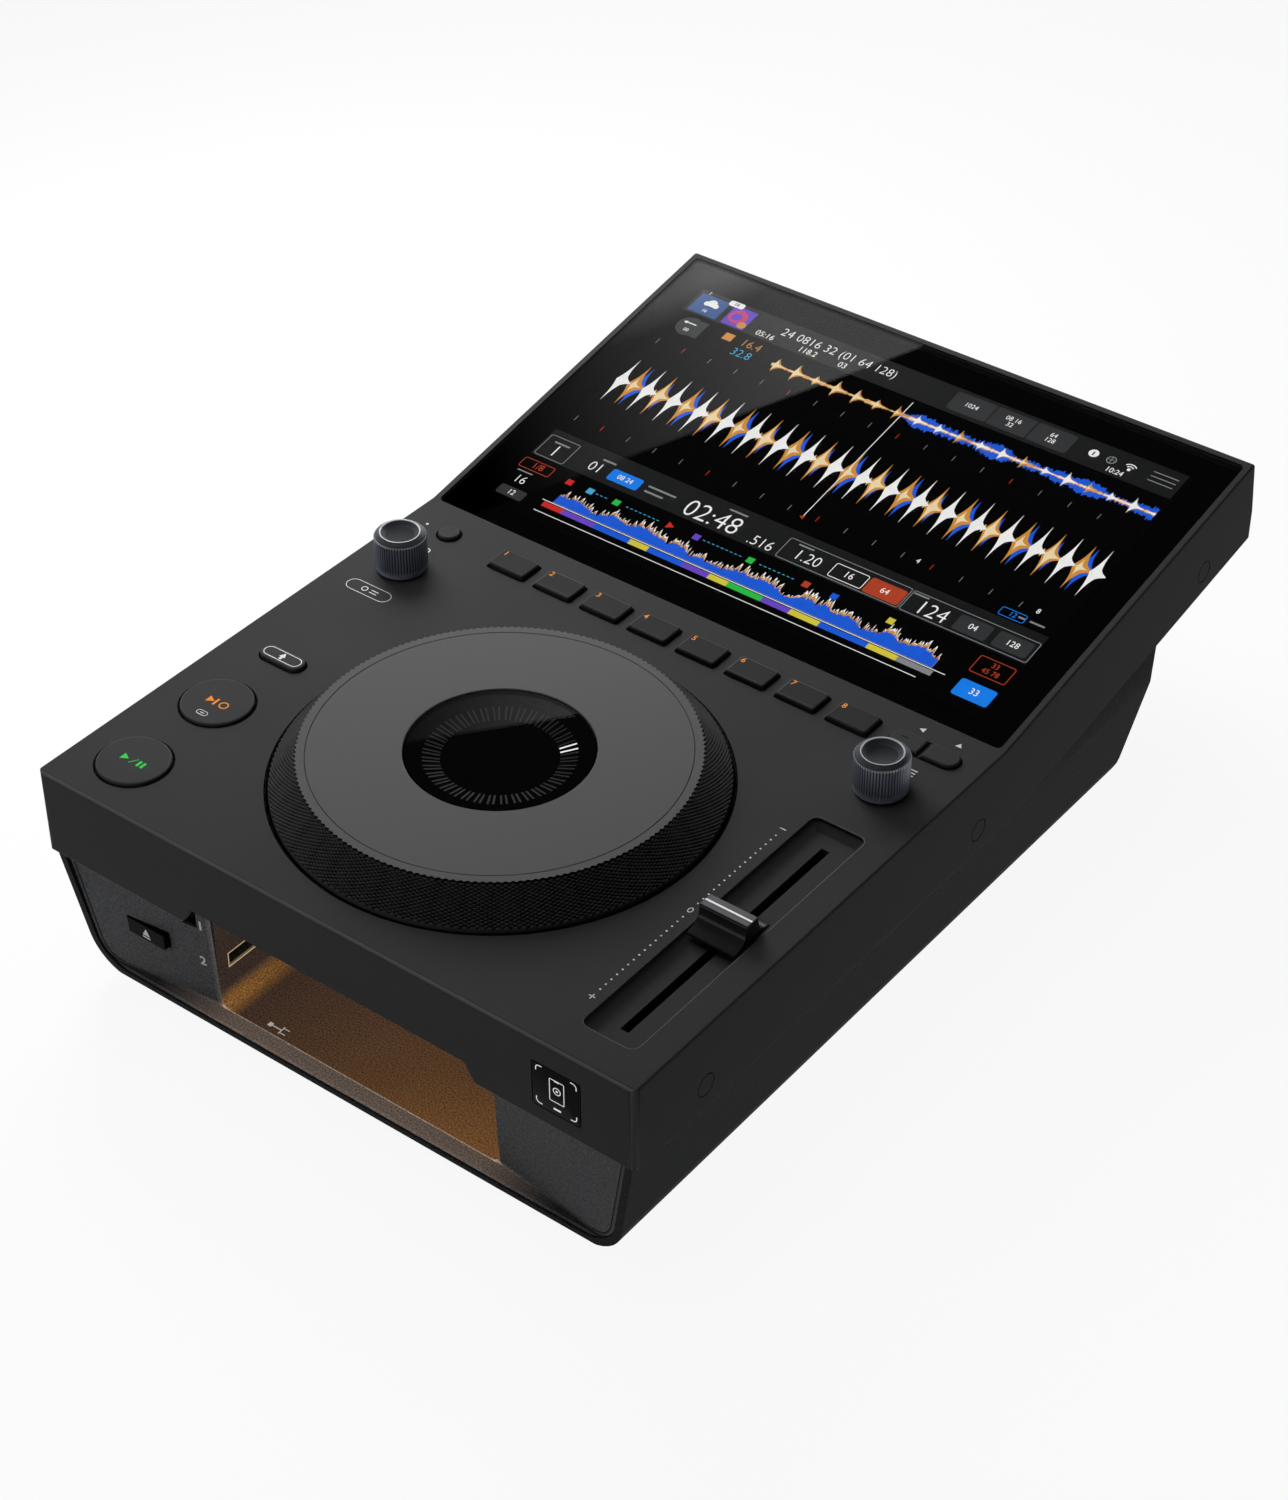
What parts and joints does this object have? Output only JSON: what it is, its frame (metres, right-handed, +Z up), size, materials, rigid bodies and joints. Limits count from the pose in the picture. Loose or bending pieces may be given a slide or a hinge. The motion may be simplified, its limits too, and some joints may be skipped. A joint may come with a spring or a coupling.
{
  "type": "tabletop media player",
  "caption": "Tabletop DJ media player with a jog wheel, tempo fader, cue pads, rotary knobs and a sloping touch screen, on a tray with a lit front USB bay.",
  "frame": {"origin": "middle of the object's box, on the table under the feet", "axes": "+X to the right, +Y to the back (the front faces -Y), +Z up"},
  "size_m": [0.25, 0.3686, 0.1165],
  "materials": {
    "case_plastic": "fine satin charcoal, smooth moulding",
    "tray_plastic": "fine grained charcoal, speckled",
    "button_plastic": "satin black",
    "black_plastic": "semi-gloss black",
    "screen_glass": "glossy black window",
    "jog_metal": "satin grey anodised",
    "knob_metal": "blue grey, fine flutes, bright rim",
    "plated_metal": "nickel plated",
    "sheet_steel": "plain zinc-plated sheet",
    "bearing_bronze": "plain sintered sleeve",
    "circuit_board": "green solder mask",
    "foot_rubber": "matte black rubber"
  },
  "bodies": {
    "chassis": {"top_case": "case_plastic", "screen_back_cover": "case_plastic", "side_cap_right_1": "case_plastic", "side_cap_right_2": "case_plastic", "side_cap_right_3": "case_plastic", "side_cap_left_1": "case_plastic", "side_cap_left_2": "case_plastic", "side_cap_left_3": "case_plastic", "bottom_tray": "tray_plastic", "bay_liner": "tray_plastic", "mains_inlet": "black_plastic", "jog_base": "black_plastic", "jog_sensor": "black_plastic", "display_panel": "black_plastic", "display_glass": "screen_glass", "jog_window": "screen_glass", "touch_window": "screen_glass", "usb_socket_1": "plated_metal", "usb_socket_2": "plated_metal", "audio_jacks": "plated_metal", "display_bracket": "sheet_steel", "loop_encoder": "sheet_steel", "browse_encoder": "sheet_steel", "fader_body": "sheet_steel", "network_port": "sheet_steel", "power_supply": "sheet_steel", "jog_bearing": "bearing_bronze", "control_board": "circuit_board", "main_board": "circuit_board", "usb_board": "circuit_board", "jog_display": "circuit_board", "foot_1": "foot_rubber", "foot_2": "foot_rubber", "foot_3": "foot_rubber", "foot_4": "foot_rubber"},
    "play_button": {"play_button": "button_plastic"},
    "cue_button": {"cue_button": "button_plastic"},
    "shift_button": {"shift_button": "button_plastic"},
    "delete_button": {"delete_button": "button_plastic"},
    "back_button": {"back_button": "button_plastic"},
    "tag_button": {"tag_button": "button_plastic"},
    "hot_cue_pad_1": {"hot_cue_pad_1": "button_plastic"},
    "hot_cue_pad_2": {"hot_cue_pad_2": "button_plastic"},
    "hot_cue_pad_3": {"hot_cue_pad_3": "button_plastic"},
    "hot_cue_pad_4": {"hot_cue_pad_4": "button_plastic"},
    "hot_cue_pad_5": {"hot_cue_pad_5": "button_plastic"},
    "hot_cue_pad_6": {"hot_cue_pad_6": "button_plastic"},
    "hot_cue_pad_7": {"hot_cue_pad_7": "button_plastic"},
    "hot_cue_pad_8": {"hot_cue_pad_8": "button_plastic"},
    "eject_button": {"eject_button": "black_plastic"},
    "jog_wheel": {"jog_rim": "black_plastic", "jog_plate": "jog_metal", "jog_encoder_disc": "sheet_steel"},
    "loop_shaft": {"loop_shaft": "plated_metal"},
    "loop_knob": {"loop_knob": "knob_metal"},
    "browse_shaft": {"browse_shaft": "plated_metal"},
    "browse_knob": {"browse_knob": "knob_metal"},
    "tempo_fader": {"fader_cap": "black_plastic", "fader_lever": "plated_metal"},
    "power_button": {"power_button": "black_plastic"}
  },
  "joints": [
    {"name": "play_button_press", "type": "slide", "parent": "chassis", "child": "play_button", "axis": [0, 0, -1], "range_m": [0, 0.0012], "stiffness_N_per_m": 400, "springref_m": -0.0006},
    {"name": "cue_button_press", "type": "slide", "parent": "chassis", "child": "cue_button", "axis": [0, 0, -1], "range_m": [0, 0.0012], "stiffness_N_per_m": 400, "springref_m": -0.0006},
    {"name": "shift_button_press", "type": "slide", "parent": "chassis", "child": "shift_button", "axis": [0, 0, -1], "range_m": [0, 0.0008], "stiffness_N_per_m": 400, "springref_m": -0.0006},
    {"name": "delete_button_press", "type": "slide", "parent": "chassis", "child": "delete_button", "axis": [0, 0, -1], "range_m": [0, 0.0008], "stiffness_N_per_m": 400, "springref_m": -0.0006},
    {"name": "back_button_press", "type": "slide", "parent": "chassis", "child": "back_button", "axis": [0, 0, -1], "range_m": [0, 0.0008], "stiffness_N_per_m": 400, "springref_m": -0.0006},
    {"name": "tag_button_press", "type": "slide", "parent": "chassis", "child": "tag_button", "axis": [0, 0, -1], "range_m": [0, 0.0008], "stiffness_N_per_m": 400, "springref_m": -0.0006},
    {"name": "hot_cue_pad_1_press", "type": "slide", "parent": "chassis", "child": "hot_cue_pad_1", "axis": [0, 0, -1], "range_m": [0, 0.001], "stiffness_N_per_m": 400, "springref_m": -0.0006},
    {"name": "hot_cue_pad_2_press", "type": "slide", "parent": "chassis", "child": "hot_cue_pad_2", "axis": [0, 0, -1], "range_m": [0, 0.001], "stiffness_N_per_m": 400, "springref_m": -0.0006},
    {"name": "hot_cue_pad_3_press", "type": "slide", "parent": "chassis", "child": "hot_cue_pad_3", "axis": [0, 0, -1], "range_m": [0, 0.001], "stiffness_N_per_m": 400, "springref_m": -0.0006},
    {"name": "hot_cue_pad_4_press", "type": "slide", "parent": "chassis", "child": "hot_cue_pad_4", "axis": [0, 0, -1], "range_m": [0, 0.001], "stiffness_N_per_m": 400, "springref_m": -0.0006},
    {"name": "hot_cue_pad_5_press", "type": "slide", "parent": "chassis", "child": "hot_cue_pad_5", "axis": [0, 0, -1], "range_m": [0, 0.001], "stiffness_N_per_m": 400, "springref_m": -0.0006},
    {"name": "hot_cue_pad_6_press", "type": "slide", "parent": "chassis", "child": "hot_cue_pad_6", "axis": [0, 0, -1], "range_m": [0, 0.001], "stiffness_N_per_m": 400, "springref_m": -0.0006},
    {"name": "hot_cue_pad_7_press", "type": "slide", "parent": "chassis", "child": "hot_cue_pad_7", "axis": [0, 0, -1], "range_m": [0, 0.001], "stiffness_N_per_m": 400, "springref_m": -0.0006},
    {"name": "hot_cue_pad_8_press", "type": "slide", "parent": "chassis", "child": "hot_cue_pad_8", "axis": [0, 0, -1], "range_m": [0, 0.001], "stiffness_N_per_m": 400, "springref_m": -0.0006},
    {"name": "eject_button_press", "type": "slide", "parent": "chassis", "child": "eject_button", "axis": [0, 1, 0], "range_m": [0, 0.0008], "stiffness_N_per_m": 400, "springref_m": -0.0006},
    {"name": "jog_wheel_turn", "type": "hinge", "parent": "chassis", "child": "jog_wheel", "pos_m": [0, -0.09448, 0.0871], "axis": [0, 0, 1], "continuous": true},
    {"name": "loop_knob_press", "type": "slide", "parent": "chassis", "child": "loop_shaft", "axis": [0, 0, -1], "range_m": [0, 0.0006], "stiffness_N_per_m": 800, "springref_m": -0.0006},
    {"name": "loop_knob_turn", "type": "hinge", "parent": "loop_shaft", "child": "loop_knob", "pos_m": [-0.1046, -0.02338, 0.0871], "axis": [0, 0, 1], "continuous": true},
    {"name": "browse_knob_press", "type": "slide", "parent": "chassis", "child": "browse_shaft", "axis": [0, 0, -1], "range_m": [0, 0.0006], "stiffness_N_per_m": 800, "springref_m": -0.0006},
    {"name": "browse_knob_turn", "type": "hinge", "parent": "browse_shaft", "child": "browse_knob", "pos_m": [0.1026, -0.02338, 0.0871], "axis": [0, 0, 1], "continuous": true},
    {"name": "tempo_fader_slide", "type": "slide", "parent": "chassis", "child": "tempo_fader", "axis": [0, 1, 0], "range_m": [-0.05, 0.05]},
    {"name": "power_button_press", "type": "slide", "parent": "chassis", "child": "power_button", "axis": [0, -0.9962, 0.0872], "range_m": [0, 0.0024], "stiffness_N_per_m": 500, "springref_m": -0.001}
  ]
}
